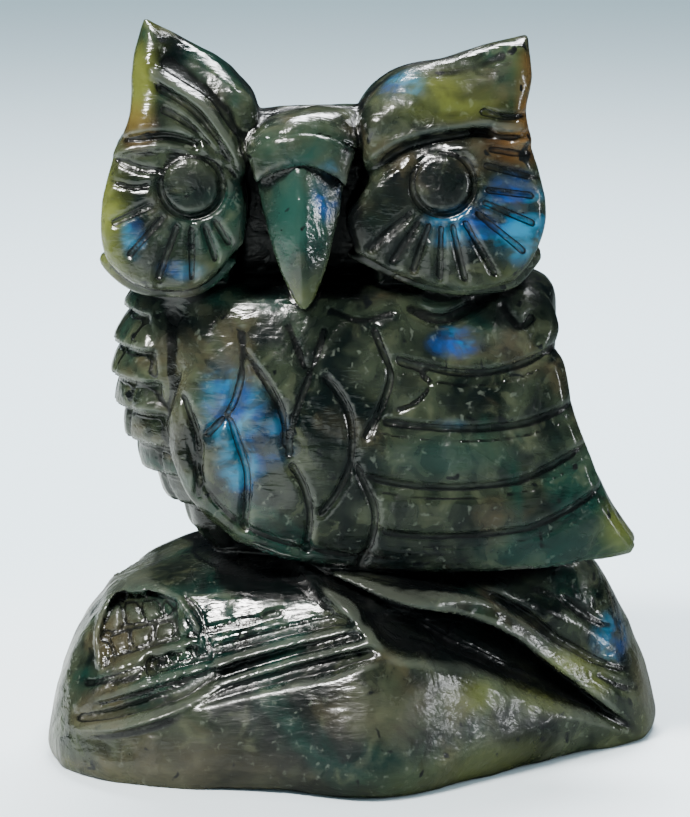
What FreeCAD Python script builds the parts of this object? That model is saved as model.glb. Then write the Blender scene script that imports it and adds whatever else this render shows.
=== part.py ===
import FreeCAD
import Part
import math
import os

# An owl carved from one block of labradorite, standing on a carved rock. Millimetres, +Z up.
# The body is in profile and faces -X, the head is turned to face -Y, and the origin is at the middle of
# the flat underside. The real object is one stone and nothing on it moves, so every node is a carved
# region of that stone, and neighbouring regions meet face to face along the carved lines.
#
# Three envelopes are lofted through level rings: the rock, the body and the head. Outlines drawn in the
# front view (X, Z) are extruded along Y, and cut the envelopes into the regions.

Vec = FreeCAD.Vector

# Driving dimensions
ROCK_TOP = 18.5  # the level where the owl stands on the rock
NECK = 46.6  # the level of the cut between body and head
WING_INNER = 5.0  # a wing starts this far from the body's middle plane
FACE = -9.0  # the plane behind the face: discs, beak and crown bands stand on it
FAR = 60.0  # beyond the stone on any side
RING_POINTS = 20
RING_POWER = 2.5  # 2 is an ellipse, and more is squarer
EYE_RADIUS = 2.4
EYE_BULGE = 1.2
SOCKET_RADIUS = 3.0
SOCKET_FLOOR = -12.6

# Level rings of ovals: (z, low x, high x, low y, high y)
BODY_RINGS = [
    (ROCK_TOP, -14.0, 19.0, -8.6, 9.0),
    (23.0, -17.3, 23.0, -10.2, 10.6),
    (28.0, -21.0, 23.2, -12.0, 12.0),
    (33.0, -23.2, 21.6, -12.8, 12.8),
    (38.0, -23.8, 20.2, -13.0, 13.0),
    (42.5, -23.0, 20.2, -12.4, 12.4),
    (NECK, -21.8, 19.0, -11.2, 11.2),
]
WING_RINGS = [
    (ROCK_TOP, -24.0, 29.4, -10.6, 10.6),
    (23.0, -26.0, 28.6, -12.4, 12.4),
    (28.0, -26.0, 25.2, -13.8, 13.8),
    (33.0, -26.0, 22.8, -14.2, 14.2),
    (38.0, -26.0, 21.2, -14.0, 14.0),
    (42.5, -25.0, 21.0, -13.2, 13.2),
    (NECK, -24.0, 19.4, -11.8, 11.8),
]
HEAD_RINGS = [
    (NECK, -21.4, 15.6, -11.0, 10.5),
    (50.0, -23.8, 18.0, -11.4, 12.2),
    (54.0, -24.2, 18.5, -11.4, 13.2),
    (58.0, -23.0, 17.8, -11.2, 13.0),
    (61.5, -19.8, 14.5, -10.4, 11.2),
    (64.0, -14.0, 8.0, -9.6, 7.5),
    (65.0, -10.5, 3.5, -9.3, 4.5),
]
EAR_RINGS = [
    (55.0, -30.0, 24.0, -13.4, 7.0),
    (62.0, -30.0, 24.0, -12.4, 4.0),
    (68.0, -30.0, 24.0, -10.0, -0.5),
    (73.2, -30.0, 24.0, -7.4, -4.4),
]
# The rock's plan: (x, y) anticlockwise from its left end, with a blunt prow towards -Y
ROCK_PLAN = [
    (-30.6, -3.0), (-29.8, -10.4), (-26.4, -16.0), (-20.0, -19.2), (-8.0, -22.0), (2.6, -24.4),
    (12.0, -18.8), (22.0, -11.4), (29.0, -5.2), (30.6, 3.5), (25.5, 13.5), (12.0, 18.4),
    (-6.0, 19.4), (-22.0, 15.0), (-29.2, 6.5),
]
# Levels of the rock: (z, scale in x, scale in y, shift in x)
ROCK_LEVELS = [
    (0.0, 0.985, 0.98, 0.0),
    (2.4, 1.0, 1.0, 0.0),
    (7.0, 0.962, 0.955, 0.0),
    (12.0, 0.895, 0.86, -0.1),
    (15.8, 0.818, 0.76, 0.3),
    (ROCK_TOP, 0.66, 0.6, 0.8),
]

# Outlines in the front view, (x, z)
WING_FRONT = [(-12.4, NECK), (-15.8, 40.0), (-18.0, 33.5), (-17.2, 29.4), (-14.9, 25.6), (-11.5, 22.6)]
LEG = (-13.0, ROCK_TOP)  # where the breast meets the rock
WING_FOOT = [(-11.5, 22.6), (-6.2, 20.5), (0.8, 19.3)]
WING_BOTTOM = [(0.8, 19.3), (9.0, 19.2), (17.0, 19.5), (23.5, 20.2), (31.0, 24.0)]
COVERT_BACK = [(0.8, 19.3), (2.0, 25.8), (0.4, 31.0), (2.2, 35.4), (3.4, 40.0), (1.8, NECK)]
FEATHER_LINES = [
    [(-1.0, 43.0), (5.0, 40.9), (10.2, 39.8), (14.5, 40.0), (19.0, 41.5), (26.0, 45.0)],
    [(-1.0, 36.0), (6.0, 34.8), (13.6, 34.5), (19.0, 35.4), (28.0, 39.0)],
    [(-1.0, 30.4), (6.0, 29.0), (14.6, 29.1), (19.0, 30.5), (30.0, 36.0)],
    [(-1.0, 25.2), (6.0, 23.9), (14.5, 24.2), (19.8, 25.7), (31.0, 32.0)],
]
TAIL_FRONT = [(23.0, NECK), (20.0, 37.0), (17.5, 30.0), (15.5, 24.0), (14.0, ROCK_TOP)]
RIGHT_BROW = [(-10.8, 58.0), (-13.0, 60.2), (-16.6, 61.0), (-22.6, 61.0)]
RIGHT_DISC = [(-22.6, 61.0), (-24.2, 54.6), (-23.4, 50.0), (-19.6, 47.6), (-14.4, 48.0), (-10.5, 52.0)]
RIGHT_DISC_INSIDE = [(-10.5, 52.0), (-10.2, 55.4), (-10.8, 58.0)]
LEFT_BROW = [(16.6, 62.0), (11.0, 61.8), (5.6, 60.6), (1.7, 58.0)]
LEFT_DISC = [(0.2, 51.0), (5.0, 48.7), (10.2, 47.6), (15.6, 48.7), (18.3, 54.4), (16.6, 62.0)]
LEFT_DISC_INSIDE = [(1.7, 58.0), (-0.5, 54.4), (0.2, 51.0)]
RIGHT_EAR_TOP = [(-20.0, 73.0), (-16.4, 71.0), (-12.0, 68.2), (-9.2, 64.0), (-10.8, 58.0)]
RIGHT_EAR_SIDE = [(-22.6, 61.0), (-21.3, 64.0), (-21.0, 69.0), (-20.0, 73.0)]
LEFT_EAR_TOP = [(1.7, 58.0), (0.6, 63.4), (4.0, 67.6), (9.6, 69.2), (16.9, 71.6)]
LEFT_EAR_SIDE = [(16.9, 71.6), (17.1, 67.6), (16.4, 64.6), (16.6, 62.0)]
CROWN_LINES = [
    [(-9.6, 57.6), (-7.4, 59.2), (-5.2, 59.6), (-2.8, 59.0), (-0.6, 57.2)],
    [(-9.6, 61.0), (-7.6, 62.5), (-4.8, 63.0), (-2.0, 62.5), (-0.6, 61.4)],
    [(-9.6, 63.2), (-7.0, 64.5), (-4.4, 65.0), (-2.0, 64.8), (-0.6, 64.2)],
]
CROWN_FRONTS = [-14.4, -12.6]  # how far the lower and the upper crown band reach towards -Y
# On each side: the face disc's middle and radii, and the eye's middle (x, z)
DISC_DOMES = {
    "right": ((-16.6, -6.0, 54.2), (10.5, 7.8, 9.8)),
    "left": ((8.8, -6.0, 54.8), (13.0, 7.8, 10.5)),
}
EYES = {"right": (-15.4, 57.6), "left": (8.5, 57.8)}
# Level triangles of the beak: (z, low x, high x, x of the ridge, y of the ridge)
BEAK_LEVELS = [
    (60.4, -9.6, -0.6, -5.1, -13.6),
    (56.0, -8.9, -1.1, -5.0, -15.2),
    (50.5, -7.3, -2.5, -4.9, -15.8),
    (NECK, -5.3, -4.2, -4.75, -14.8),
]
BOULDER_TOP = [
    (-32.0, 3.6), (-19.6, 6.9), (-10.0, 9.4), (-2.2, 11.0), (3.5, 12.2), (10.0, 10.0), (18.0, 6.4),
    (32.0, 1.4),
]
LEFT_RIDGE = [(-32.0, 3.8), (-23.0, 5.6), (-12.6, 9.8), (-6.0, 12.0), (2.0, 14.6)]
LEFT_BAND = [(-32.0, 4.4), (-24.6, 7.6), (-17.6, 10.3), (-10.0, 12.6), (2.0, 15.8)]
RIGHT_SLOPE = [(2.0, 17.8), (7.9, 15.8), (12.1, 14.1), (15.9, 11.6), (20.2, 8.2), (24.0, 5.1), (32.0, 1.5)]
RIGHT_RIDGE = [(2.0, 17.9), (8.0, 17.2), (13.0, 15.5), (16.9, 12.9), (20.3, 10.2), (26.3, 7.3), (32.0, 6.6)]
BARK_TOP = [(-25.2, 8.2), (-25.0, 14.0), (-22.6, 16.8), (-16.4, 16.6), (-12.6, 11.4)]


def edge(points, y):
    """A smooth edge through front-view points, or a straight one through two."""
    places = [Vec(x, y, z) for x, z in points]
    if len(places) == 2:
        return Part.makeLine(*places)
    line = Part.BSplineCurve()
    line.interpolate(places)
    return line.toShape()


def prism(runs, low_y=-FAR, high_y=FAR):
    """The solid from low_y to high_y whose front view is the closed outline that these runs make."""
    outline = Part.Wire([edge(run, low_y) for run in runs])
    return Part.Face(outline).extrude(Vec(0, high_y - low_y, 0))


def below(line):
    """Everything straight under a line that is drawn from left to right."""
    (first_x, _), (last_x, _) = line[0], line[-1]
    return prism([
        line,
        [line[-1], (last_x, -FAR)],
        [(last_x, -FAR), (first_x, -FAR)],
        [(first_x, -FAR), line[0]],
    ])


def left_of(line):
    """Everything on the -X side of a line that is drawn from top to bottom."""
    (_, top_z), (_, low_z) = line[0], line[-1]
    return prism([
        line,
        [line[-1], (-FAR, low_z)],
        [(-FAR, low_z), (-FAR, top_z)],
        [(-FAR, top_z), line[0]],
    ])


def slab(low_y, high_y):
    block = Part.makeBox(2 * FAR, high_y - low_y, 2 * FAR)
    block.translate(Vec(-FAR, low_y, -FAR / 2))
    return block


def closed_ring(points, z):
    ring = Part.BSplineCurve()
    ring.interpolate([Vec(x, y, z) for x, y in points], PeriodicFlag=True)
    return Part.Wire(ring.toShape())


def oval(z, low_x, high_x, low_y, high_y):
    """A level ring, a little squarer than an ellipse."""
    def swing(value):
        return math.copysign(abs(value) ** (2 / RING_POWER), value)

    points = []
    for i in range(RING_POINTS):
        turn = 2 * math.pi * (i + 0.5) / RING_POINTS
        x = (low_x + high_x) / 2 + swing(math.cos(turn)) * (high_x - low_x) / 2
        y = (low_y + high_y) / 2 + swing(math.sin(turn)) * (high_y - low_y) / 2
        points.append((x, y))
    return closed_ring(points, z)


def loft(rings):
    return Part.makeLoft(rings, True, False)


def dome(centre, radii):
    """An ellipsoid."""
    stretch = FreeCAD.Matrix()
    stretch.scale(Vec(*radii))
    ball = Part.makeSphere(1.0).transformGeometry(stretch)
    ball.translate(Vec(*centre))
    return ball


def beak_triangle(z, low_x, high_x, ridge_x, ridge_y):
    corners = [Vec(low_x, FACE, z), Vec(ridge_x, ridge_y, z), Vec(high_x, FACE, z)]
    return Part.makePolygon(corners + corners[:1])


def far_side(shape):
    """The same region on the other side of the body's middle plane."""
    return shape.mirror(Vec(0, 0, 0), Vec(0, 1, 0))


def rock_regions():
    """The rock: a boulder in front, ridges to the left and right, and a block of bark on the left."""
    rock = loft([
        closed_ring([(x * scale_x + shift, y * scale_y) for x, y in ROCK_PLAN], z)
        for z, scale_x, scale_y, shift in ROCK_LEVELS
    ])
    front = slab(-FAR, 0.0)
    cutters = {
        "front_boulder": below(BOULDER_TOP).common(front),
        "left_ridge": below(LEFT_RIDGE).common(front),
        "left_band": below(LEFT_BAND).common(front),
        "right_slope": below(RIGHT_SLOPE).common(front),
        "right_ridge": below(RIGHT_RIDGE).common(front),
        "bark_panel": below(BARK_TOP).common(front),
    }
    regions = {}
    for name, cutter in cutters.items():
        regions[name] = rock.common(cutter)
        rock = rock.cut(cutter)
    regions["rock"] = rock
    return regions


def body_regions():
    """The breast, the middle of the body, the tail, and on each flank a wing of coverts and feathers."""
    body = loft([oval(*ring) for ring in BODY_RINGS])
    wings = loft([oval(*ring) for ring in WING_RINGS])
    tip_x, tip_z = WING_BOTTOM[-1]
    coverts = prism([WING_FRONT, WING_FOOT, COVERT_BACK, [COVERT_BACK[-1], WING_FRONT[0]]])
    flight = prism([
        COVERT_BACK[::-1],
        WING_BOTTOM,
        [(tip_x, tip_z), (tip_x, NECK)],
        [(tip_x, NECK), COVERT_BACK[-1]],
    ])
    near = slab(-FAR, -WING_INNER)
    for field in (coverts.common(near), flight.common(near)):
        body = body.cut(field).cut(far_side(field))
    wing = {"wing_coverts": wings.common(coverts).common(near)}
    feathers = wings.common(flight).common(near)
    for number, line in zip((5, 4, 3, 2), FEATHER_LINES[::-1]):
        wing[f"flight_feather_{number}"] = feathers.common(below(line))
        feathers = feathers.cut(below(line))
    wing["flight_feather_1"] = feathers
    regions = {}
    for name, shape in wing.items():
        regions[f"left_{name}"] = shape
        regions[f"right_{name}"] = far_side(shape)
    breast = prism([
        WING_FRONT,
        [WING_FRONT[-1], LEG],
        [LEG, (-FAR, ROCK_TOP)],
        [(-FAR, ROCK_TOP), (-FAR, NECK)],
        [(-FAR, NECK), WING_FRONT[0]],
    ])
    regions["breast"] = body.common(breast)
    regions["tail"] = body.cut(breast).cut(left_of(TAIL_FRONT))
    regions["body"] = body.cut(breast).common(left_of(TAIL_FRONT))
    return regions


def head_regions():
    """The back of the head, and on its face the ear tufts, discs, eyes, crown bands and beak."""
    head = loft([oval(*ring) for ring in HEAD_RINGS]).cut(slab(-FAR, FACE))
    tufts = loft([oval(*ring) for ring in EAR_RINGS])
    regions = {
        "right_ear": tufts.common(prism([RIGHT_EAR_TOP, RIGHT_BROW, RIGHT_EAR_SIDE])),
        "left_ear": tufts.common(prism([LEFT_EAR_TOP, LEFT_EAR_SIDE, LEFT_BROW])),
    }
    outlines = {
        "right": [RIGHT_BROW, RIGHT_DISC, RIGHT_DISC_INSIDE],
        "left": [LEFT_BROW, LEFT_DISC_INSIDE, LEFT_DISC],
    }
    for side, runs in outlines.items():
        eye_x, eye_z = EYES[side]
        socket = Part.makeCylinder(SOCKET_RADIUS, FAR, Vec(eye_x, SOCKET_FLOOR, eye_z), Vec(0, -1, 0))
        disc = dome(*DISC_DOMES[side]).common(prism(runs, -FAR, FACE))
        regions[f"{side}_face_disc"] = disc.cut(socket)
        eye = dome((eye_x, SOCKET_FLOOR, eye_z), (EYE_RADIUS, EYE_BULGE, EYE_RADIUS))
        regions[f"{side}_eye"] = eye.common(slab(-FAR, SOCKET_FLOOR))
    for name, low, high, front in zip(("lower", "upper"), CROWN_LINES, CROWN_LINES[1:], CROWN_FRONTS):
        outline = [low, [low[-1], high[-1]], high[::-1], [high[0], low[0]]]
        regions[f"{name}_crown_band"] = prism(outline, front, FACE)
    beak = Part.makeLoft([beak_triangle(*level) for level in BEAK_LEVELS], True, False)
    regions["beak"] = beak.common(below(CROWN_LINES[0]))
    regions["head"] = head.cut(regions["right_ear"]).cut(regions["left_ear"])
    return regions


def save(nodes):
    """Write each region, moved so that the origin is under the middle of the whole stone."""
    box = nodes["rock"].fuse(nodes["front_boulder"]).optimalBoundingBox()
    os.makedirs("parts", exist_ok=True)
    for name, shape in nodes.items():
        shape.translate(Vec(-box.Center.x, -box.Center.y, -box.ZMin))
        shape.exportStep(f"parts/{name}.step")


save({**rock_regions(), **body_regions(), **head_regions()})
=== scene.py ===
import bpy
import numpy as np
import math
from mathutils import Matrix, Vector


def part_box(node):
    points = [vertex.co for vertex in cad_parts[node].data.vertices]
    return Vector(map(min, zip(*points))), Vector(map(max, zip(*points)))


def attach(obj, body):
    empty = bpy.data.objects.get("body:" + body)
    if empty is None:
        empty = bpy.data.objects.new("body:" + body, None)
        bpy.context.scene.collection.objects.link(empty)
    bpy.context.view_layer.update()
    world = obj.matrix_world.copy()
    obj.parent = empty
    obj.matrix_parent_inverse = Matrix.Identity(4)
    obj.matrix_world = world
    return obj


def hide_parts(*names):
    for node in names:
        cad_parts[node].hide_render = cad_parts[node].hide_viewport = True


# An owl carved from one block of labradorite. The stone is sculpted as one field of signed distance, in
# millimetres, and then meshed as regions that share their walls, one region for each CAD node.

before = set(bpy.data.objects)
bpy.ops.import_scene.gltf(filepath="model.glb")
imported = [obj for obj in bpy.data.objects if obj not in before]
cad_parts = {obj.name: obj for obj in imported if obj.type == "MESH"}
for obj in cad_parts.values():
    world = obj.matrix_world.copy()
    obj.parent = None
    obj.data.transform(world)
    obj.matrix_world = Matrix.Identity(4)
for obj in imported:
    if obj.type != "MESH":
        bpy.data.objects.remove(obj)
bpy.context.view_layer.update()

MM = 0.001
VOXEL = 0.28
FAR = 99.0


# ---- places, from the frame


def box_mm(node):
    low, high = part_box(node)
    return np.array(low) / MM, np.array(high) / MM


# The sculpt is drawn about the owl's own middle plane: x and z as in the frame, y from that plane.
near_wing, far_wing = box_mm("left_wing_coverts"), box_mm("right_wing_coverts")
PLANE_Y = (near_wing[0][1] + far_wing[1][1]) / 2
EYE_AT = {"right": (-15.4, 57.6), "left": (8.5, 57.8)}
SHIFT_X = np.mean(box_mm("left_eye"), axis=0)[0] - EYE_AT["left"][0]
TOP = box_mm("right_ear")[1][2]

# ---- the grid

LOW = np.array([-32.4, -25.2, -0.9])
HIGH = np.array([32.4, 21.6, TOP + 0.9])
COUNT = np.ceil((HIGH - LOW) / VOXEL).astype(int) + 1
xs = LOW[0] + VOXEL * np.arange(COUNT[0])
ys = LOW[1] + VOXEL * np.arange(COUNT[1])
zs = LOW[2] + VOXEL * np.arange(COUNT[2])
flat_x, flat_z = np.meshgrid(xs, zs, indexing="ij")


def ease(low, high, value):
    """0 on the low side, 1 on the high side, smooth between. Low may be the larger number."""
    t = np.clip((value - low) / (high - low), 0, 1)
    return t * t * (3 - 2 * t)


def smooth_min(a, b, reach):
    """The smaller of two fields, with a fillet where they meet."""
    h = np.maximum(reach - np.abs(a - b), 0) / reach
    return np.minimum(a, b) - h * h * reach / 4


def smooth_max(a, b, reach):
    return -smooth_min(-a, -b, reach)


# ---- curves in the front view


def path(points, per_span=8):
    """A smooth polyline through the points (Catmull-Rom)."""
    p = np.array(points, float)
    if len(p) == 2:
        return p
    p = np.vstack([2 * p[0] - p[1], p, 2 * p[-1] - p[-2]])
    t = np.linspace(0, 1, per_span, endpoint=False)[:, None]
    spans = []
    for a, b, c, d in zip(p, p[1:], p[2:], p[3:]):
        square = a - 2.5 * b + 2 * c - d / 2
        cube = 1.5 * b - a / 2 - 1.5 * c + d / 2
        spans.append(b + t * (c - a) / 2 + t**2 * square + t**3 * cube)
    return np.vstack(spans + [p[-2:-1]])


def loop(*runs):
    """A closed polyline of smooth runs. Each ends in a corner, where the next begins."""
    return np.vstack([path(run + [after[0]])[:-1] for run, after in zip(runs, runs[1:] + runs[:1])])


def along(line):
    """For the front view: distance to the polyline, side (+ is its left) and share of its length."""
    best = np.full(flat_x.shape, FAR**2)
    side = np.ones(flat_x.shape)
    share = np.zeros(flat_x.shape)
    lengths = np.hypot(*np.diff(line, axis=0).T)
    starts = np.concatenate([[0], np.cumsum(lengths)])
    for (ax, az), (bx, bz), length, start in zip(line, line[1:], lengths, starts):
        ux, uz = (bx - ax) / length, (bz - az) / length
        rx, rz = flat_x - ax, flat_z - az
        t = np.clip(rx * ux + rz * uz, 0, length)
        d = (rx - t * ux) ** 2 + (rz - t * uz) ** 2
        nearer = d < best
        best = np.where(nearer, d, best)
        side = np.where(nearer, np.sign(ux * rz - uz * rx), side)
        share = np.where(nearer, (start + t) / starts[-1], share)
    return np.sqrt(best), side, share


def signed(outline):
    """Distance to a closed outline, negative inside."""
    ring = np.vstack([outline, outline[:1]])
    distance, _, _ = along(ring)
    inside = np.zeros(flat_x.shape, bool)
    for (ax, az), (bx, bz) in zip(ring, ring[1:]):
        if az != bz:
            crosses = (az > flat_z) != (bz > flat_z)
            inside ^= crosses & (flat_x < (bx - ax) * (flat_z - az) / (bz - az) + ax)
    return np.where(inside, -distance, distance)


def groove(points, width=0.9, depth=0.45, fade=0.06):
    """A V cut along a line with a slightly raised lip on each side, running out at its ends."""
    distance, _, share = along(path(points))
    ends = np.minimum(ease(0, fade, share), ease(0, fade, 1 - share))
    cut_in = np.clip(1.1 - 2 * distance / width, 0, 1)
    lip = np.clip(1 - np.abs(distance - 0.62 * width) / (0.25 * width), 0, 1)
    return depth * (cut_in - 0.14 * lip) * (0.1 + 0.9 * ends)


def carve(relief, cuts):
    """Adds grooves to a relief, each given as (line, width, depth)."""
    for line, width, depth in cuts:
        relief += groove(line, width, depth)


def bevel(a, b, width):
    """Where two fields meet in an edge, a flat facet of about the width cuts it off."""
    return np.maximum(np.maximum(a, b), (a + b) * math.sqrt(0.5) + width / 2)


def shelf(points, depth=0.6, ramp=1.5, lip=0.25):
    """A step: level on the left of the line, cut down on its right and rising again over the ramp."""
    distance, side, share = along(path(points))
    across = -distance * side
    ends = np.minimum(ease(0, 0.03, share), ease(0, 0.03, 1 - share))
    return ends * depth * ease(-lip, lip, across) * np.clip(1 - across / ramp, 0, 1)


def spread(table, column, at):
    """One column of a table of levels, smooth between its rows."""
    rows = np.array(table, float)
    line = path(rows[:, [0, column]], 16)
    return np.interp(at, line[:, 0], line[:, 1])


# ---- the field

field = np.full(tuple(COUNT), FAR, np.float32)
owner = np.zeros(tuple(COUNT), np.int8)
NAMES = []


def block(low, high):
    """The slices of the grid that cover a box, and its coordinates."""
    i0 = np.maximum(np.floor((np.array(low) - LOW) / VOXEL).astype(int) - 2, 0)
    i1 = np.minimum(np.ceil((np.array(high) - LOW) / VOXEL).astype(int) + 3, COUNT)
    cut = tuple(slice(a, b) for a, b in zip(i0, i1))
    x = xs[cut[0]][:, None, None]
    y = ys[cut[1]][None, :, None]
    z = zs[cut[2]][None, None, :]
    return cut, x, y, z


def block_round(outline, margin, front, back, above_it):
    """The block of the grid round an outline of the front view, between two depths."""
    low_x, low_z = outline.min(axis=0) - margin
    high_x, high_z = outline.max(axis=0) + (margin, above_it)
    return block((low_x, front, low_z), (high_x, back, high_z))


def sheet(flat, cut):
    """A front-view map, laid over a block of the grid."""
    return flat[cut[0], cut[2]][:, None, :]


def true_scale(value):
    """Turns a smooth implicit function into an approximate distance, near its zero."""
    gx, gy, gz = np.gradient(value, VOXEL)
    return value / np.maximum(np.sqrt(gx * gx + gy * gy + gz * gz), 0.02)


def join(name, value, cut, fillet):
    """Adds a part to the stone. Where it lies deepest, its stone is its own."""
    NAMES.append(name)
    here = field[cut]
    mine = value < here
    owner[cut] = np.where(mine, len(NAMES), owner[cut])
    field[cut] = smooth_min(here, value.astype(np.float32), fillet)


OVAL_POWER = 2.5  # 2 is an ellipse; more is squarer


def stack(table, x, y, z):
    """Level ovals: (z, low x, high x, low y, high y), as one smooth body without its caps."""
    lx, hx, ly, hy = (spread(table, c, z) for c in (1, 2, 3, 4))
    a = np.abs(x - (lx + hx) / 2) / ((hx - lx) / 2)
    b = np.abs(y - (ly + hy) / 2) / ((hy - ly) / 2)
    return true_scale((a**OVAL_POWER + b**OVAL_POWER) ** (1 / OVAL_POWER) - 1)


# ---- outlines, shared by shape and regions

NECK = box_mm("head")[0][2]
ROCK_TOP = box_mm("rock")[1][2]
WING_FRONT = [(-12.4, NECK), (-15.8, 40), (-18, 33.5), (-17.2, 29.4), (-14.9, 25.6), (-11.5, 22.6)]
WING_FOOT = [(-11.5, 22.6), (-6.2, 20.5), (0.8, 19.3)]
WING_BOTTOM = [(0.8, 19.3), (9, 19.2), (17, 19.5), (23.5, 20.2), (31, 24)]
COVERT_BACK = [(0.8, 19.3), (2, 25.8), (0.4, 31), (2.2, 35.4), (3.4, 40), (1.8, NECK)]
FEATHER_LINES = [
    [(-1, 42.8), (5, 40.9), (10.2, 39.8), (14.5, 40), (19, 41.5), (26, 45)],
    [(-1, 36), (6, 34.8), (13.6, 34.5), (19, 35.4), (28, 39)],
    [(-1, 30.4), (6, 29), (14.6, 29.1), (19, 30.5), (30, 36)],
    [(-1, 25.2), (6, 23.9), (14.5, 24.2), (19.8, 25.7), (31, 32)],
]
BOULDER_TOP = [
    (-33, 3.4), (-19.6, 6.9), (-10, 9.4), (-2.2, 11.4), (3.5, 13), (10, 10.9), (18, 6.6), (24, 3.4),
    (33, -1),
]
# The dark channel's lower edge leaves the boulder's top at its fifth point and climbs to the left
CHANNEL_FOOT = [(-33, 32), (-10, 22), (-5, 19.6), (-1.6, 17.6), (1.2, 15)] + BOULDER_TOP[4:]
LEFT_RIDGE = [(-33, 3.7), (-23, 5.6), (-12.6, 9.8), (-6, 12), (2, 14.6), (10, 17.2)]
LEFT_BAND = [(-33, 4.2), (-24.6, 7.6), (-17.6, 10.3), (-10, 12.6), (2, 15.8), (10, 18.2)]
RIGHT_SLOPE = [
    (-8, 20.6), (2, 18.2), (7.9, 16.4), (12.1, 14.9), (15.9, 12.7), (20.2, 9), (24, 5.7), (28, 2.2),
    (33, -1),
]
RIGHT_RIDGE = [
    (-8, 21.2), (2, 19.2), (8, 18.2), (13, 16.6), (16.9, 14.1), (20.3, 11.2), (26.3, 7.6), (33, 6.5),
]
BARK_LINE = [(-25, 10.4), (-20.6, 11.9), (-12.6, 14.4), (-8, 15.8)]
BARK_TOP = [(-25.2, 8.2), (-25, 14), (-22.6, 16.8), (-16.4, 16.6), (-12.6, 11.4)]

# Outlines of the head's parts, each in runs from corner to corner
RIGHT_DISC = loop([(-10.8, 58), (-13, 60.2), (-16.6, 61)],
                  [(-22.6, 61), (-24.2, 54.6), (-23.4, 50), (-19.6, 47.6), (-14.4, 48)],
                  [(-10.5, 52), (-10.2, 55.4)])
LEFT_DISC = loop([(16.6, 62), (11, 61.8), (5.6, 60.6)], [(1.7, 58), (-0.5, 54.4)],
                 [(0.2, 51), (5, 48.7), (10.2, 47.6), (15.6, 48.7), (18.3, 54.4)])
RIGHT_EAR = loop([(-20, 73), (-16.4, 71), (-12, 68.2), (-9.2, 64)],
                 [(-10.6, 57.4), (-13, 59.4), (-16.6, 60.2)], [(-22.9, 60.2), (-21.3, 64), (-21, 69)])
LEFT_EAR = loop([(1.5, 57.4), (0.4, 63.4), (4, 67.6), (9.6, 69.2)],
                [(16.9, 71.6), (17.1, 67.6), (16.4, 64.6)], [(16.9, 61.4), (11, 61), (5.6, 59.8)])
CROWN_LINES = [
    [(-10.4, 56.6), (-8.4, 58.6), (-5, 59.7), (-2.2, 58.7), (0.2, 56.6)],
    [(-10.8, 60.2), (-8.6, 61.8), (-5.4, 62.7), (-2, 62.2), (1, 60.4)],
    [(-10.6, 61.8), (-8.6, 63.2), (-6.2, 64.1), (-3, 64.5), (0.6, 64.3), (2.2, 63.4)],
]


def height(line):
    """The height of a line drawn from left to right, at each x of the front view."""
    points = path(line, 16)
    return np.interp(flat_x, points[:, 0], points[:, 1])


def above(line):
    """Distance above such a line, across its slope."""
    level = height(line)
    slope = np.gradient(level, VOXEL, axis=0)
    return (flat_z - level) / np.sqrt(1 + slope * slope)


def hump(value, width):
    """1 at zero, falling smoothly to 0 at the width on each side."""
    return np.clip(1 - (value / width) ** 2, 0, 1) ** 2


def swell(points, width):
    """1 on a smooth line through the points, falling to 0 at the width."""
    return hump(along(path(points))[0], width)


def hashed(*cells):
    """A repeatable scatter value from 0 to 1 for whole-number cells."""
    total = sum(c * k for c, k in zip(cells, (12.9898, 78.233, 37.719)))
    return np.mod(np.sin(total) * 43758.5453, 1)


# ---- the rock

ROCK_PLAN = [
    (-30.6, -3), (-29.8, -10.4), (-26.4, -16), (-20, -19.2), (-8, -22), (2.6, -24.4), (12, -18.8),
    (22, -11.4), (29, -5.2), (30.6, 3.5), (25.5, 13.5), (12, 18.4), (-6, 19.4), (-22, 15),
    (-29.2, 6.5),
]
# Levels of the rock: (z, scale in x, scale in y, shift in x)
ROCK_LEVELS = [
    (-2, 0.985, 0.98, 0), (0, 0.995, 0.99, 0), (2.4, 1, 1, 0), (7, 0.962, 0.955, 0),
    (12, 0.895, 0.86, -0.1), (15.8, 0.818, 0.76, 0.3), (18.4, 0.715, 0.66, 0.8), (20.2, 0.48, 0.45, 0.6),
    (21.4, 0.2, 0.18, 0), (30, 0.05, 0.05, 0),
]


BARK_ROW, BARK_BLOCK = 2, 2.3  # the height of a row and the length of a block


def bark_relief():
    """Rows of rough blocks, cut on a slant, at uneven depths."""
    rise = above(BARK_LINE)
    row = np.floor(rise / BARK_ROW)
    run = flat_x + 0.25 * flat_z + 0.9 * np.mod(row, 2) + 0.25 * np.sin(2.1 * flat_z)
    column = np.floor(run / BARK_BLOCK)
    gap_row = np.abs(rise - np.round(rise / BARK_ROW) * BARK_ROW)
    gap_column = np.abs(run - np.round(run / BARK_BLOCK) * BARK_BLOCK)
    lean = (hashed(column, row + 5) - 0.5) * (run / BARK_BLOCK - column - 0.5)
    lean = lean + (hashed(column + 3, row) - 0.5) * (rise / BARK_ROW - row - 0.5)
    gap = 0.75 * np.maximum(np.clip(1.1 - gap_row / 0.5, 0, 1), np.clip(1.1 - gap_column / 0.45, 0, 1))
    return 0.8 * hashed(column, row) + 0.9 * lean + gap


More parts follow.
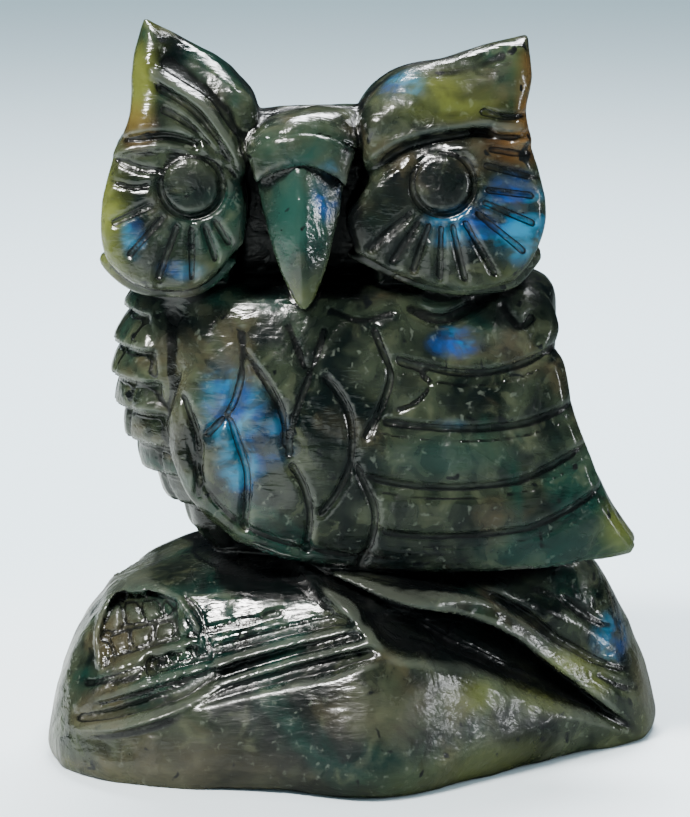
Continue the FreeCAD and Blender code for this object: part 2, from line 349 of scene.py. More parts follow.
def rock_relief():
    """How deep the front of the rock is carved: its ridges and cuts, and apart from them its bark."""
    over_boulder = above(BOULDER_TOP)
    over_ridge = above(LEFT_RIDGE)
    over_band = above(LEFT_BAND)
    over_foot = above(CHANNEL_FOOT)
    right = ease(-1.5, 0.8, over_foot)

    left = 1.4 * ease(-0.3, 0.7, over_boulder)
    left -= 1.15 * hump(over_ridge, 0.75)
    left += 0.35 * hump(over_ridge - 1, 0.6)
    left -= 0.95 * hump(over_band + 0.1, 0.7)
    left += 0.25 * ease(0.3, 1, over_band)
    left *= ease(-29, -19, flat_x)
    carve(left, [
        ([(-27.5, 5), (-16.5, 8.6), (-8, 11.2), (0.5, 13.6)], 0.9, 0.5),
        ([(-26, 6.6), (-20, 8.9), (-12, 11.5), (-4, 13.8)], 0.8, 0.4),
        ([(-14, 12.6), (-8, 14.2), (0, 16.2)], 0.8, 0.45),
        ([(-12, 11.8), (-6, 13.4), (1, 15.3)], 0.7, 0.35),
    ])

    over_slope = above(RIGHT_SLOPE)
    over_leaf = above(RIGHT_RIDGE)
    channel = ease(-0.2, 1.4, over_foot) * (1 - ease(-0.5, 0.15, over_slope))
    width = np.maximum(over_foot - over_slope, 0.5)
    hollow = np.clip(over_foot / width, 0, 1)
    carved = channel * (1.4 + 2.2 * hollow)
    carved += ease(-0.3, 0.2, over_slope) * 0.25
    carved += 0.55 * ease(-0.15, 0.35, over_leaf)
    carved += 0.7 * hump(over_leaf - 0.35, 0.6)
    carve(carved, [
        ([(2.6, 16.2), (6.2, 14.9), (8.7, 13.3), (12.5, 11.2), (15.5, 9.2)], 0.9, 0.4),
        ([(20.6, 15.6), (23, 13.6), (25.2, 12.2), (28.6, 11.4)], 1.2, 0.7),
        ([(24, 8.2), (26.2, 6.6), (27.7, 5.9), (30.5, 5.6)], 1, 0.5),
    ])
    carved -= 0.5 * hump(above([(14, 17.2), (20, 14.2), (26, 10.4), (32, 8.6)]), 1.4)

    left *= ease(-30, -26.5, flat_x)
    carved *= 1 - ease(27.5, 30.5, flat_x)
    relief = left * (1 - right) + carved * right
    panel_line = loop([(-24.6, 10.8), (-24.8, 13.2)], [(-23.6, 15.5), (-20.2, 16.7)],
                      [(-17.3, 16.4)], [(-16.9, 13.3)])
    row_line = np.array([(-20.4, 11.4), (-14.2, 13.3), (-13.3, 11.2), (-19.6, 9.3)])
    panel, row = (ease(0.25, -0.25, signed(line)) for line in (panel_line, row_line))
    bark = (panel + row) * (0.1 + bark_relief()) * 0.7
    raised_edges = [
        [(-24.9, 10.5), (-25.1, 13.3), (-23.8, 15.9), (-20.2, 17.1), (-16.8, 16.8), (-15.4, 15.2),
         (-14.3, 13.9)],
        [(-24.9, 10.5), (-20, 12.1), (-14, 14), (-9, 15.7)],
        [(-16.9, 16.6), (-15.2, 14.6), (-14, 12.4), (-13, 10.6)],
    ]
    for edge in raised_edges:
        bark -= 0.4 * swell(edge, 0.45)
    carve(relief, [
        ([(-25.2, 10.3), (-19, 12.5), (-12.6, 14.5), (-6.5, 16.2)], 1, 0.6),
        ([(-26.6, 8.3), (-21, 10.4), (-14.6, 13)], 0.8, 0.3),
        ([(-16.9, 17), (-15.2, 15.6), (-14.3, 13.4), (-13.2, 10.6)], 0.8, 0.5),
        ([(-26.8, 15.2), (-22, 17.8), (-17, 19.2), (-13, 19.4)], 1.3, 0.6),
    ])
    low_edge = above([(-32, 1.2), (-10, 2.2), (4, 2.2), (16, 4.2), (30, 4.6)])
    relief += 0.35 * np.maximum(-low_edge, 0) * ease(-20, -6, flat_x)
    return relief, bark


def shade_map():
    """Painted shade: where the front is painted nearly black, for shadow and dark reflection: the
    channel, under the wing, and beside the beak.
    """
    slope = ease(0, 0.8, above(CHANNEL_FOOT)) * ease(0.1, -0.4, above(RIGHT_SLOPE))
    leg = loop([(-16.6, 25.4), (-11.5, 22.4), (-6.2, 20.3), (0.8, 19.1), (9, 18.9)],
               [(22, 19.6), (20, 18.3), (5, 17.7), (-3.7, 17.2), (-10.5, 17.2), (-13.8, 18.9)])
    under = ease(0.5, -0.2, signed(leg))
    beside = ease(-11.6, -9.6, flat_x) * ease(1.8, 0.2, flat_x)
    beside = beside * ease(59, 56, flat_z) * ease(46, 46.6, flat_z)
    beside = beside * ease(0.1, 0.6, np.abs(flat_x + 4.85) - spread(BEAK_LEVELS, 2, flat_z))
    return 0.95 * np.maximum(np.maximum(slope, under), beside)


BACK_DEPTH = 0.6  # the back of the rock repeats the front's ridges, mirrored and shallower


def add_rock():
    cut, x, y, z = block((-32, -25, -1), (32, 21, 23))
    ring = path(ROCK_PLAN + ROCK_PLAN[:1], 24)
    angles, radii = np.arctan2(ring[:, 1], ring[:, 0]), np.hypot(ring[:, 0], ring[:, 1])
    order = np.argsort(angles)
    scale_x, scale_y, shift = (spread(ROCK_LEVELS, c, z) for c in (1, 2, 3))
    px, py = (x - shift) / scale_x, y / scale_y
    rim = np.interp(np.arctan2(py, px), angles[order], radii[order], period=2 * math.pi)
    value = true_scale(np.hypot(px, py) / rim - 1)
    relief, bark = rock_relief()
    facing = ease(4, -3, y + 0.25 * x)
    value = value + sheet(relief + bark, cut) * facing
    value = value + BACK_DEPTH * sheet(relief[::-1], cut) * ease(5, 10, y)
    join("rock", smooth_max(value, -z + 0.02, 0.7), cut, 0.6)


# ---- the body

BODY_RINGS = [
    (15, -11.5, 17, -7, 8), (ROCK_TOP, -13.6, 18.5, -7.6, 8.8), (23, -17.2, 22.5, -9.6, 10.4),
    (28, -21, 22.8, -11.6, 11.8), (33, -23.4, 21.6, -12.6, 12.6), (38, -24.2, 20.2, -12.8, 12.8),
    (42.5, -23.4, 20.2, -12.2, 12.2), (NECK, -22, 19.4, -10.6, 10.6), (50, -20, 15, -8, 8),
]
WING_RINGS = [
    (15, -20, 38, -9.6, 9.6), (ROCK_TOP, -22, 37, -11.6, 11.6), (23, -24, 35, -13.6, 13.6),
    (27, -25, 32, -14.4, 14.4), (33, -25, 29, -14.2, 14.2), (38, -25, 27, -13.6, 13.6),
    (42.5, -24, 25.5, -12.6, 12.6), (NECK, -23, 22.5, -10.8, 10.8), (50, -21, 20, -8, 8),
]
# The rear edge of a wing: a shoulder, a nick, and a slant down to the tip
WING_BACK = [(16.8, 48.4), (19.2, 45.4), (19.9, 43), (19.2, 41.2)]
WING_REAR = [(19.2, 41.2), (20.4, 39.6), (21.3, 35.6), (23, 30.6), (25.2, 25.8), (27.9, 21.6)]
FAR_WING_SHORTER = 2.0
BREAST_TOP, BREAST_ROW, BREAST_TILE = 47.2, 3.2, 4.2  # breast feathers: top, height and width of a tile
BODY_TOP, WING_TOP = 47.4, 47.2
BREAST_EDGE = [(-20.2, NECK), (-19.4, 41), (-18.4, 36), (-17.6, 32), (-14.6, 26.6), (-13, 20)]


def add_body():
    cut, x, y, z = block((-25.5, -14, 15), (27, 14, 50))
    value = stack(BODY_RINGS, x, y, z)
    # Breast feathers: rows of shingles, each standing out at its lower edge
    rows_down = (BREAST_TOP - z) / BREAST_ROW
    fall = np.mod(rows_down, 1)
    column = y / BREAST_TILE + 0.5 * np.mod(np.floor(rows_down), 2)
    seam = np.abs(column - np.round(column)) * BREAST_TILE
    tile = 1.15 * (1 - fall) ** 1.4 + 0.35 * np.clip(1.1 - seam / 0.5, 0, 1)
    distance, side, _ = along(path(BREAST_EDGE))
    past = sheet(distance * side, cut)
    value = value + tile * ease(0.25, -0.25, past) * ease(21, 23, z)
    # The facet between the breast feathers and the wing is a valley
    valley = sheet(groove([(-17.4, NECK), (-17.6, 41), (-17.8, 36), (-17.9, 33)], 4.6, 1.1, 0.2), cut)
    value = value + valley * ease(2, 5, np.abs(y))
    # The hollow of the leg, under the wing's front edge
    hollow = sheet(groove([(-16.5, 24.5), (-12, 20.4), (-5, 17.4), (4, 16.4)], 4.5, 1.1, 0.15), cut)
    value = value + hollow * ease(4, 7, np.abs(y))
    join("body", smooth_max(value, z - BODY_TOP, 1.6), cut, 0.5)


def wing_relief():
    """How deep a wing's flank is carved: covert leaves, long feathers, and the rim at the front."""
    relief = np.zeros(flat_x.shape)
    leaves = [
        [(-10.8, 43.7), (-10.6, 40.8), (-11, 38.1), (-12.1, 35.5), (-14.7, 32.8)],
        [(-16.6, 37.4), (-15.4, 34.3), (-14.9, 32.1), (-15.1, 26.6)],
        [(-12.1, 35.5), (-11, 32.4), (-10.2, 29.1), (-10.6, 23.6)],
        [(-10.6, 41.6), (-8, 38), (-6.7, 35.1), (-6.6, 32)],
        [(-2.6, 44), (-4.1, 39.6), (-5.7, 35.1), (-6.3, 31)],
        [(-6.4, 44.2), (-4.4, 39.6)],
        [(-3.3, 39.6), (-1.7, 37.9), (-0.4, 35.6), (-0.1, 33.2), (-0.4, 30.6), (-1.9, 27.5),
         (-3.7, 25.3)],
        [(-6.2, 31.1), (-5, 29.1), (-4.3, 26.8), (-4.2, 25.1), (-4.7, 21.4)],
        [(1.7, 44.2), (2.8, 41.6), (3.6, 39.6), (3.1, 37.3), (2.1, 35), (0.8, 33)],
        [(0, 31.2), (1.3, 28.4), (2.1, 26), (1.7, 22.9), (0.3, 19.8)],
    ]
    for leaf in leaves:
        relief = np.maximum(relief, groove(leaf, 1.15, 0.62))
    crescent = groove([(3.8, 40.6), (6.2, 39.8), (7.2, 38.3), (6, 36.8), (3.8, 35.8)], 0.8, 0.3)
    relief = np.maximum(relief, crescent)
    behind = ease(0.3, 1.1, flat_x - np.interp(flat_z, *path(COVERT_BACK, 16).T[::-1]))
    for line in FEATHER_LINES:
        relief += behind * shelf(line, 0.75, 1.7, 0.22)
        relief += behind * 0.25 * hump(above(line) + 1.5, 0.35)
    rim = along(path(WING_FRONT[2:] + WING_FOOT[1:] + WING_BOTTOM[1:2]))[0]
    low_front = (1 - ease(0, 6, flat_x)) * (1 - ease(31, 35, flat_z))
    relief += 0.45 * np.clip(1 - np.abs(rim - 2) / 0.4, 0, 1) * low_front
    carve(relief, [
        ([(5, 46), (7.6, 44.6), (10.4, 45), (14.2, 47.6)], 1.6, 0.8),
        ([(-2.6, 45.6), (0.6, 44.4), (4, 45.2)], 1.2, 0.4),
        ([(14.2, 45.8), (16, 43.6), (17.6, 44.6)], 1.4, 0.4),
    ])
    return relief


def wing_outline(shorter):
    back, rear = ([(x - shorter, z) for x, z in line] for line in (WING_BACK, WING_REAR))
    tip = (rear[-1][0] - 0.6, 20.6)
    foot = [(0.8, 19.3), (9, 19.2), (17, 19.5)]
    return loop(back[:1], [(-13.5, 50)], WING_FRONT[:-1], WING_FOOT[:-1], foot, [tip], rear[:0:-1],
                back[:0:-1])


def add_wings():
    relief = wing_relief()
    wings = (("left_wing", -16, -3, -1, 0), ("right_wing", 3, 16, 1, FAR_WING_SHORTER))
    for name, low, high, side, shorter in wings:
        outline = signed(wing_outline(shorter))
        cut, x, y, z = block((-20, low, 17), (31, high, 50))
        value = stack(WING_RINGS, x, y, z)
        value = value + sheet(relief, cut)
        value = bevel(value, sheet(outline, cut), 1.1)
        value = smooth_max(value, 4.5 - side * y, 1)
        join(name, smooth_max(value, z - WING_TOP, 2.2), cut, 0.35)


# ---- the head

HEAD_RINGS = [
    (44, -16, 11, -6.5, 7), (NECK, -19.6, 14.6, -8.6, 9.6), (50, -23, 17.6, -10, 12),
    (54, -23.9, 18.2, -10.3, 13), (58, -22.8, 17.4, -10.2, 12.8), (61.5, -19.8, 14.8, -9.8, 11),
    (63.4, -15, 9.5, -9, 7.4), (65, -9, 3, -6.5, 3), (70, -5, -1, -3, 0),
]
DISCS = {
    "right": (RIGHT_DISC, (-15.6, -6, 51), (15, 7.6, 17)),
    "left": (LEFT_DISC, (8.6, -6, 51.2), (17.5, 7.6, 18)),
}
EYE_RING, PUPIL, LID = 2.95, 2.45, 3.5  # radii from the eye's middle
EYE_SHADE = math.radians(-60)  # the ring round the eye is cut deepest on this side
# The rays round each eye: (angle in degrees, start and end from the eye's middle)
RAYS = {
    "right": [(228, 3.5, 9.4), (250, 3.4, 10), (270, 3.3, 10.2), (288, 3.3, 10.4), (303, 3.4, 10),
              (206, 3.8, 8.8)],
    "left": [(222, 3.5, 10.2), (237, 3.5, 10.4), (251, 3.4, 10.4), (268, 3.4, 10.2), (283, 3.4, 10.2),
             (300, 3.5, 10.6), (320, 3.5, 11.2), (336, 3.6, 11.2), (352, 3.7, 10.4)],
}
# The short lines at each temple: (line, width, depth)
TEMPLE_LINES = {
    "right": [([(-22.8, 60), (-20.4, 59.2), (-18.2, 59)], 1, 0.5),
              ([(-23.4, 58), (-21, 57.4), (-19.2, 57.6)], 0.9, 0.4)],
    "left": [([(12.2, 59.6), (14.8, 58.9), (18.8, 57.8)], 1, 0.6),
             ([(12.6, 61.2), (15.4, 60.6), (18, 60.2)], 0.9, 0.45)],
}


def disc_relief(side):
    """How deep a face disc is carved: the ring round the eye, the rays and the lid."""
    eye_x, eye_z = EYE_AT[side]
    outline = DISCS[side][0]
    away = np.hypot(flat_x - eye_x, flat_z - eye_z)
    around = np.arctan2(flat_z - eye_z, flat_x - eye_x)
    low_side = 0.5 + 0.5 * np.cos(around - EYE_SHADE)
    relief = (0.4 + 0.6 * low_side) * np.clip(1.1 - np.abs(away - EYE_RING) / 0.5, 0, 1)
    relief -= 0.5 * np.sqrt(np.clip(1 - (away / PUPIL) ** 2, 0, 1))
    edge = signed(outline)
    for angle, start, end in RAYS[side]:
        turn = math.radians(angle)
        near = (eye_x + start * math.cos(turn), eye_z + start * math.sin(turn))
        far = (eye_x + end * math.cos(turn), eye_z + end * math.sin(turn))
        ray = groove([near, far], 1, 0.55, 0.12) * ease(-0.4, -1.1, edge)
        relief = np.maximum(relief, ray)
    for line, width, depth in TEMPLE_LINES[side]:
        relief = np.maximum(relief, groove(line, width, depth))
    turns = np.radians([175, 150, 120, 90, 60, 30, 5])
    lid = [(eye_x + LID * math.cos(turn), eye_z + LID * math.sin(turn)) for turn in turns]
    return np.maximum(relief, groove(lid, 0.6, 0.28, 0.15))


CREVICE_DEPTH = 6.5  # the hollow each side of the beak
HEAD_BOTTOM, HEAD_TOP, ROOF_SLOPE = 46.4, 64.6, 0.18


def add_head():
    cut, x, y, z = block((-25, -12, 45), (20, 15, 68))
    value = stack(HEAD_RINGS, x, y, z)
    crevice = ease(-12.4, -10.6, flat_x) * ease(2.6, 0.6, flat_x)
    crevice = crevice * ease(61.5, 58, flat_z)
    value = value + CREVICE_DEPTH * sheet(crevice, cut) * ease(1, -5, y)
    value = smooth_max(value, HEAD_BOTTOM - z, 1.6)
    # The top of the head is a low roof along x
    roof = z + ROOF_SLOPE * np.abs(y + 6) - HEAD_TOP
    join("head", smooth_max(value, roof, 2), cut, 0.4)


def add_discs():
    for side, (outline, centre, radii) in DISCS.items():
        edge = signed(outline)
        cut, x, y, z = block_round(outline, 2.5, -15.5, 0, 1)
        scaled = [(at - c) / r for at, c, r in zip((x, y, z), centre, radii)]
        slope = [part / r for part, r in zip(scaled, radii)]
        size = np.sqrt(sum(v * v for v in scaled))
        dome = size * (size - 1) / np.sqrt(sum(v * v for v in slope))
        # A cheek: a thin rim behind and below the disc
        cheek = smooth_max(sheet(edge, cut) - 1, dome + 2.3, 0.7)
        cheek = smooth_max(cheek, z - centre[2] + 0.5, 1)
        join(f"{side}_cheek", smooth_max(cheek, y + 2, 0.5), cut, 0.3)
        value = bevel(sheet(edge, cut), dome + sheet(disc_relief(side), cut), 0.9)
        join(f"{side}_disc", smooth_max(value, y + 1, 0.5), cut, 0.25)


def right_ear_relief():
    relief = swell([(-17, 69.2), (-13.8, 66.9), (-11.6, 64.4), (-10.2, 61.4)], 2.2)
    fold = [(-19, 68.2), (-16.4, 66.6), (-14.1, 65.1), (-12.6, 63.1), (-11.1, 60.8), (-9.9, 58)]
    relief -= 0.7 * swell(fold, 0.9)
    carve(relief, [
        ([(-18.8, 66.9), (-16.3, 65.5), (-14.4, 63.9), (-12.9, 62), (-11.6, 59.6)], 1, 0.7),
        ([(-18.4, 64.9), (-16.2, 63.7), (-14.1, 61.9), (-12.5, 60.2)], 1, 0.6),
        ([(-22.4, 61.6), (-18, 62.2), (-14.4, 61.4)], 1.3, 1),
    ])
    ridge = along(path([(-20, 73), (-18.6, 70.6), (-16.6, 69.3), (-14.2, 68.2), (-11.5, 66.8)]))
    relief += 0.6 * ease(0.1, 1.1, ridge[0] * ridge[1])
    return relief


def left_ear_relief():
    relief = groove([(0.6, 57.4), (2.4, 59.4), (5.6, 61.3), (10.8, 62.3), (13.6, 62.4)], 1.8, 1.3)
    carve(relief, [
        ([(12, 64.6), (14.6, 64), (17.6, 64.2)], 0.9, 0.7),
        ([(11, 62.7), (14, 62.1), (17.6, 62.4)], 1.1, 0.9),
    ])
    relief += 0.45 * swell([(4, 67.8), (9.6, 68.2), (14, 69.6)], 1.1)
    relief -= 0.35 * swell([(2, 63.6), (6, 65.4), (11, 66.2), (15.5, 68.4)], 1.6)
    return relief


# Ears, by level: (z, front y, back y)
EAR_LEVELS = [
    (56, -12.6, 6), (61, -12.6, 4), (65, -11.6, 1), (69, -9.8, -2.2), (73.4, -8, -5.2),
    (76, -7.4, -6),
]


def add_ears():
    ears = (("right_ear", RIGHT_EAR, right_ear_relief()), ("left_ear", LEFT_EAR, left_ear_relief()))
    for name, outline, relief in ears:
        edge = signed(outline)
        cut, _, y, z = block_round(outline, 1, -14.5, 8, 1)
        front, back = spread(EAR_LEVELS, 1, z), spread(EAR_LEVELS, 2, z)
        value = np.maximum(front - y + sheet(relief, cut), y - back)
        join(name, smooth_max(value * 0.93, sheet(edge, cut), 2.4), cut, 0.35)


def add_crown():
    half_width = np.interp(flat_z, [57, 59.5, 62, 65], [4.1, 4.8, 5.6, 5])
    for name, low_line, high_line, front, lean in (
        ("upper_crown", CROWN_LINES[1], CROWN_LINES[2], -13.6, 1.15),
        ("lower_crown", CROWN_LINES[0], CROWN_LINES[1], -14.6, 0.12),
    ):
        strip = np.maximum(-above(low_line), above(high_line))
        strip = np.maximum(strip, np.abs(flat_x + 4.9) - half_width)
        cut, x, y, z = block((-12, -16, 55), (3, -5, 67))
        base_z = sheet(height(low_line), cut)
        face = front + 0.045 * (x + 5) ** 2 + lean * np.maximum(z - base_z - 0.4, 0)
        value = (face - y) / math.hypot(1, lean)
        value = smooth_max(value, sheet(strip, cut), 0.9)
        join(name, smooth_max(value, y + 7, 0.5), cut, 0.3)


# Beak, by level: (z, ridge y, half width, ridge x)
BEAK_LEVELS = [
    (44, -13.8, 0.2, -4.7), (46, -14.8, 0.4, -4.7), (47.2, -15.4, 1.1, -4.75), (50, -16, 2.3, -4.85),
    (53, -15.9, 3.1, -4.95), (56.5, -15.2, 3.9, -5), (60.4, -13.9, 4.5, -5.1), (62, -13.4, 4.6, -5.1),
]


def add_beak():
    cut, x, y, z = block((-11, -17.5, 44.5), (1, -6, 62))
    ridge_y, half, ridge_x = (spread(BEAK_LEVELS, c, z) for c in (1, 2, 3))
    aside = np.abs(x - ridge_x)
    steep = 0.75
    face = ridge_y + steep * np.maximum(aside - 0.3, 0)
    value = (face - y) / math.hypot(1, steep)
    value = smooth_max(value, aside - half, 0.5)
    value = smooth_max(value, sheet(above(CROWN_LINES[0]), cut) + 0.1, 0.4)
    value = smooth_max(value, 46.0 - z, 0.5)
    join("beak", smooth_max(value, y + 8, 0.5), cut, 0.25)


add_rock()
add_body()
add_wings()
add_head()
add_discs()
add_ears()
add_crown()
add_beak()

# ---- unevenness left by the carver's hand


def lattice_noise(spacing, seed):
    """Smooth noise from -1 to 1 over the whole grid, with features of about the spacing."""
    draw = np.random.default_rng(seed)
    counts = np.ceil((HIGH - LOW) / spacing).astype(int) + 3
    values = draw.uniform(-1, 1, tuple(counts)).astype(np.float32)
    for axis, line in enumerate((xs, ys, zs)):
        place = (line - LOW[axis]) / spacing
        cell = np.floor(place).astype(int)
        t = ease(0, 1, place - cell).astype(np.float32)
        t = t.reshape([-1 if a == axis else 1 for a in range(3)])
        values = np.take(values, cell, axis) * (1 - t) + np.take(values, cell + 1, axis) * t
    return values


for spacing, strength, seed in ((5.5, 0.2, 3), (2.4, 0.1, 5), (1.1, 0.04, 8)):
    field += strength * lattice_noise(spacing, seed)

# ---- regions, one for each CAD node

FLIGHT = [f"flight_feather_{number}" for number in range(1, 6)]
NODES = ["rock", "front_boulder", "left_ridge", "left_band", "right_slope", "right_ridge", "bark_panel"]
NODES += ["body", "breast", "tail"]
NODES += [f"{side}_{part}" for side in ("left", "right") for part in ["wing_coverts"] + FLIGHT]
NODES += ["head", "right_ear", "left_ear", "right_face_disc", "left_face_disc", "right_eye", "left_eye"]
NODES += ["lower_crown_band", "upper_crown_band", "beak"]

label = np.zeros(tuple(COUNT), np.int8)
owner[field > 0] = 0


def claim(part, node, where=True, near_only=False):
    """Gives a part's stone to a CAD node: all of it, or what lies within a mask of the front view."""
    mine = owner == NAMES.index(part) + 1
    if where is not True:
        mine &= where[:, None, :]
    if near_only:
        mine &= (ys < 0)[None, :, None]
    label[mine] = NODES.index(node) + 1


def left_of(line):
    points = path(line, 16)
    order = np.argsort(points[:, 1])
    return flat_x < np.interp(flat_z, points[order, 1], points[order, 0])


claim("rock", "rock")
in_bark = signed(np.array(BARK_TOP + [(-12.6, 0), (-25.2, 0)])) < 0
in_bark &= (flat_x < -12) & (flat_x > -25.2) & (above(LEFT_BAND) > 0)
claim("rock", "bark_panel", in_bark, True)
for node, line in (("right_ridge", RIGHT_RIDGE), ("right_slope", RIGHT_SLOPE)):
    claim("rock", node, (flat_x > 2) & (above(line) < 0), True)
for node, line in (("left_band", LEFT_BAND), ("left_ridge", LEFT_RIDGE)):
    claim("rock", node, (flat_x < 2) & (above(line) < 0), True)
claim("rock", "front_boulder", above(BOULDER_TOP) < 0, True)
claim("body", "body")
claim("body", "breast", left_of([(-13, 15)] + WING_FRONT[::-1]))
claim("body", "tail", ~left_of([(14, 15), (15.5, 24), (17.5, 30), (20, 37), (23, NECK)]))
for side in ("left", "right"):
    ahead = left_of(COVERT_BACK)
    for number, feather in enumerate(FLIGHT):
        below_line = True if number == 0 else above(FEATHER_LINES[number - 1]) < 0
        claim(f"{side}_wing", f"{side}_{feather}", below_line & ~ahead)
    claim(f"{side}_wing", f"{side}_wing_coverts", ahead)
for part in ("head", "right_cheek", "left_cheek"):
    claim(part, "head")
claim("beak", "beak")
for side, (eye_x, eye_z) in EYE_AT.items():
    claim(f"{side}_disc", f"{side}_face_disc")
    claim(f"{side}_disc", f"{side}_eye", np.hypot(flat_x - eye_x, flat_z - eye_z) < EYE_RING)
    claim(f"{side}_ear", f"{side}_ear")
claim("lower_crown", "lower_crown_band")
claim("upper_crown", "upper_crown_band")


def clear_crossings():
    """No grid square may hold one region on a diagonal only, so that each region closes cleanly."""
    for axes in ((0, 1), (1, 2), (0, 2)):
        steps = [np.take(range(3), a) for a in axes]
        views = []
        for da in (0, 1):
            for db in (0, 1):
                cut = [slice(None)] * 3
                cut[steps[0]] = slice(da, label.shape[steps[0]] - 1 + da)
                cut[steps[1]] = slice(db, label.shape[steps[1]] - 1 + db)
                views.append(tuple(cut))
        a, b, c, d = (label[v] for v in views)
        crossed = (a == d) & (a != b) & (a != c) & (a > 0)
        b[crossed] = a[crossed]
        crossed = (b == c) & (b != a) & (b != d) & (b > 0)
        a[crossed] = b[crossed]


for _ in range(7):
    clear_crossings()
solid = label > 0
field = np.where(solid, np.minimum(field, -0.01), np.maximum(field, 0.01)).astype(np.float32)

# ---- meshing: one vertex for each mixed cell

CORNERS = [(i, j, k) for i in (0, 1) for j in (0, 1) for k in (0, 1)]
EDGES = [(a, b) for a in CORNERS for b in CORNERS if sorted(np.subtract(b, a)) == [0, 0, 1]]


def corner_view(values, corner):
    return values[tuple(slice(c, n - 1 + c) for c, n in zip(corner, values.shape))]


first = corner_view(label, (0, 0, 0))
mixed = np.zeros(first.shape, bool)
for corner in CORNERS[1:]:
    mixed |= corner_view(label, corner) != first
cells = np.argwhere(mixed)
numbers = np.full(mixed.shape, -1, np.int32)
numbers[mixed] = np.arange(len(cells), dtype=np.int32)
at_corner = {c: tuple((cells + c).T) for c in CORNERS}
skin_sum, skin_count = np.zeros((len(cells), 3)), np.zeros(len(cells))
wall_sum, wall_count = np.zeros((len(cells), 3)), np.zeros(len(cells))
for a, b in EDGES:
    region_a, region_b = label[at_corner[a]], label[at_corner[b]]
    value_a, value_b = field[at_corner[a]], field[at_corner[b]]
    at_skin = (region_a == 0) != (region_b == 0)
    at_wall = (region_a != region_b) & ~at_skin
    step = np.subtract(b, a)
    t = np.where(at_skin, value_a / np.where(at_skin, value_a - value_b, 1), 0.5)[:, None]
    place = np.array(a) + t * step
    skin_sum += place * at_skin[:, None]
    skin_count += at_skin
    wall_sum += place * at_wall[:, None]
    wall_count += at_wall
on_skin = skin_count > 0
skin_mean = skin_sum / np.maximum(skin_count, 1)[:, None]
wall_mean = wall_sum / np.maximum(wall_count, 1)[:, None]
place = np.where(on_skin[:, None], skin_mean, wall_mean)
grid_points = cells + place
points = LOW + VOXEL * grid_points


def sample(values, where=grid_points):
    """A grid's values at the vertices, linear between its samples."""
    base = np.clip(np.floor(where).astype(int), 0, np.array(values.shape) - 2)
    t = where - base
    total = np.zeros(len(where))
    for corner in CORNERS:
        weight = np.prod([t[:, a] if corner[a] else 1 - t[:, a] for a in range(3)], axis=0)
        total += weight * values[tuple((base + corner).T)]
    return total


def blurred(values, radius):
    """A grid, averaged over a cube of about the radius in mm."""
    reach = max(int(round(radius / VOXEL)), 1)
    for axis in range(3):
        before = np.repeat(np.take(values, [0], axis), reach + 1, axis)
        after = np.repeat(np.take(values, [-1], axis), reach, axis)
        total = np.cumsum(np.concatenate([before, values, after], axis), axis, dtype=np.float64)
        count = values.shape[axis]
        high = np.take(total, np.arange(2 * reach + 1, 2 * reach + 1 + count), axis)
        low = np.take(total, np.arange(count), axis)
        values = ((high - low) / (2 * reach + 1)).astype(np.float32)
    return values


shallow = np.clip(field, -2.5, 2.5)
normals = np.stack([sample(g) for g in np.gradient(shallow, VOXEL)], axis=1)
normals /= np.maximum(np.linalg.norm(normals, axis=1), 1e-6)[:, None]


def front_map(flat):
    """A front-view map, read at the vertices of the near side."""
    column = np.clip(np.round(grid_points[:, 0]).astype(int), 0, COUNT[0] - 1)
    level = np.clip(np.round(grid_points[:, 2]).astype(int), 0, COUNT[2] - 1)
    return flat[column, level] * ease(3, -2, points[:, 1])


SURFACE = {
    "shade": np.clip(front_map(shade_map()), 0, 1),
    "cut": np.clip(-sample(blurred(shallow, 0.9)) / 0.35, -1, 1),
    "thin": np.clip(1 - sample(blurred(solid.astype(np.float32), 4)) * 2, -1, 1),
}

quads, owners, others = [], [], []
for axis in range(3):
    u, v = (axis + 1) % 3, (axis + 2) % 3
    low_cut = tuple(slice(0, -1) if a == axis else slice(1, -1) for a in range(3))
    high_cut = tuple(slice(1, None) if a == axis else slice(1, -1) for a in range(3))
    low_region, high_region = label[low_cut], label[high_cut]
    spots = np.argwhere(low_region != high_region)
    low_region, high_region = low_region[tuple(spots.T)], high_region[tuple(spots.T)]
    ring = []
    for du, dv in ((0, 0), (1, 0), (1, 1), (0, 1)):
        cell = spots.copy()
        cell[:, u] += du
        cell[:, v] += dv
        ring.append(numbers[tuple(cell.T)])
    ring = np.stack(ring, axis=1)
    for own, other, faces in ((low_region, high_region, ring), (high_region, low_region, ring[:, ::-1])):
        held = own > 0
        quads.append(faces[held])
        owners.append(own[held])
        others.append(other[held])
quads, owners, others = np.concatenate(quads), np.concatenate(owners), np.concatenate(others)
world_points = (points + [SHIFT_X, PLANE_Y, 0]) * MM
world_points[:, 2] = np.maximum(world_points[:, 2], 0)


